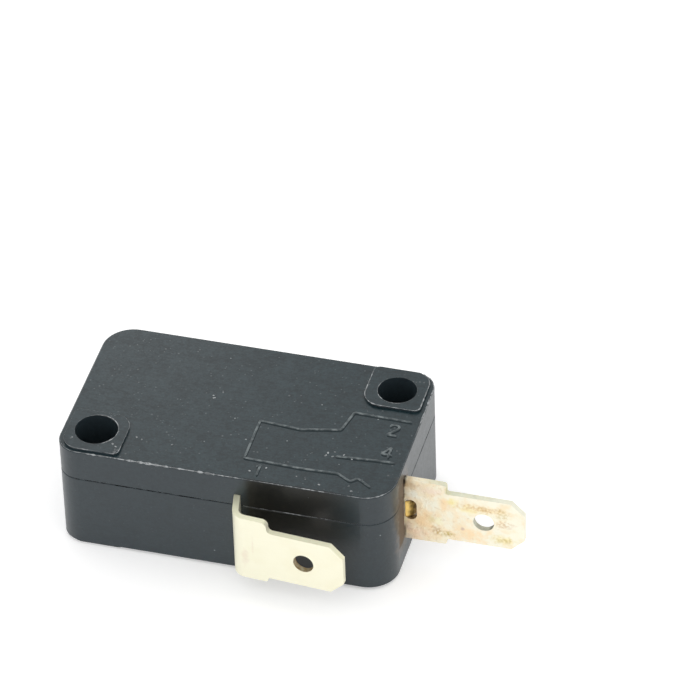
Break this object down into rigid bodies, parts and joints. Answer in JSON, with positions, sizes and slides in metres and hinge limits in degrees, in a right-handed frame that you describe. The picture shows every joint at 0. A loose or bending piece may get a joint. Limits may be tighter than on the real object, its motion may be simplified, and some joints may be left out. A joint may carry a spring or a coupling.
{
  "type": "micro switch",
  "caption": "Snap-action micro switch: flat moulded case with diagonal mounting holes, half-round push plunger, lever slots and bent and straight blade terminals.",
  "frame": {"origin": "midway between the two mounting holes, on the faces of the lower pads", "axes": "+X along the case to the end terminal, +Y to the plunger, +Z through the thickness from the base to the cover"},
  "size_m": [0.0377, 0.0223, 0.01],
  "materials": {
    "case_plastic": "moulded, fine grained, dark grey",
    "plunger_plastic": "moulded, satin, dark grey",
    "terminal_brass": "stamped, pale, dull",
    "stained_brass": "stamped, heat stained and spotted",
    "contact_silver": "silver alloy, satin",
    "arm_bronze": "rolled spring bronze",
    "lever_steel": "plated steel"
  },
  "bodies": {
    "case": {"base": "case_plastic", "cover": "case_plastic", "common_terminal": "terminal_brass", "end_terminal": "stained_brass", "fixed_contact": "contact_silver"},
    "plunger": {"plunger": "plunger_plastic"},
    "trip_lever": {"trip_lever": "lever_steel"},
    "contact_arm": {"contact_arm": "arm_bronze", "moving_contact": "contact_silver"},
    "snap_spring": {"snap_spring": "lever_steel"}
  },
  "joints": [
    {"name": "plunger_slide", "type": "slide", "parent": "case", "child": "plunger", "axis": [0, -1, 0], "range_m": [0, 0.0016], "stiffness_N_per_m": 800, "springref_m": -0.0008},
    {"name": "lever_turn", "type": "hinge", "parent": "case", "child": "trip_lever", "pos_m": [-0.0044, -0.00245, 0.00495], "axis": [0, 0, 1], "range_deg": [0, 18]},
    {"name": "arm_turn", "type": "hinge", "parent": "case", "child": "contact_arm", "pos_m": [-0.0039, -0.00025, 0.00495], "axis": [0, 0, -1], "range_deg": [0, 4.5]},
    {"name": "spring_turn", "type": "hinge", "parent": "contact_arm", "child": "snap_spring", "pos_m": [0.0055, 0.0003, 0.00495], "axis": [0, 0, 1], "range_deg": [0, 6.7], "deforming": ["snap_spring"]}
  ],
  "couplings": [
    {"joint": "lever_turn", "follows": "plunger_slide", "rad_per_m": 196.3},
    {"joint": "arm_turn", "follows": "plunger_slide", "rad_per_m": 49},
    {"joint": "spring_turn", "follows": "plunger_slide", "rad_per_m": 71.45}
  ]
}
